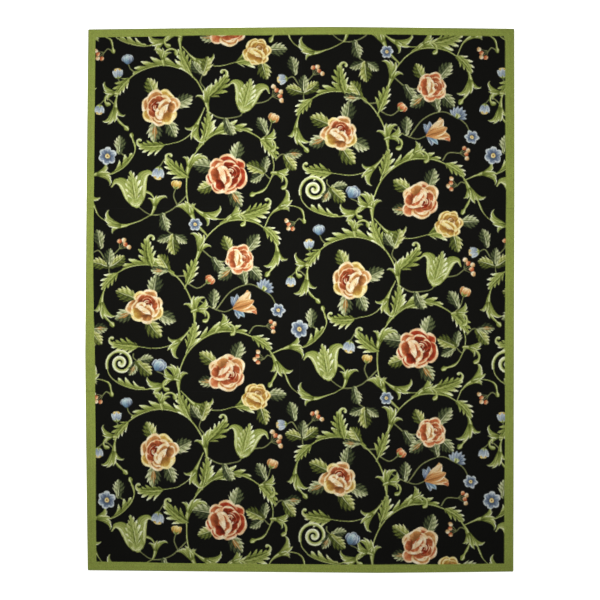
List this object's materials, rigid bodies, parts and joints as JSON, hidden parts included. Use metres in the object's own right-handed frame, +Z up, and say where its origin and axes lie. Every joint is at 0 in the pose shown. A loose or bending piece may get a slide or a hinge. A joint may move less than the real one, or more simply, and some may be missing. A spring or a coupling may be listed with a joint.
{
  "type": "hooked rug",
  "caption": "Rectangular wool hooked rug lying flat, with a dense floral scroll pile on a black field inside a narrow plain green border.",
  "frame": {"origin": "on the floor under the centre of the rug's overall rectangle", "axes": "+X across the rug, +Y along its length, +Z up out of the pile"},
  "size_m": [2.35, 2.99, 0.01],
  "materials": {
    "wool_pile": "matt wool loops: black field, green border, greens, blues, corals and creams in the flowers"
  },
  "bodies": {
    "root": {"hooked_rug": "wool_pile"}
  },
  "joints": []
}
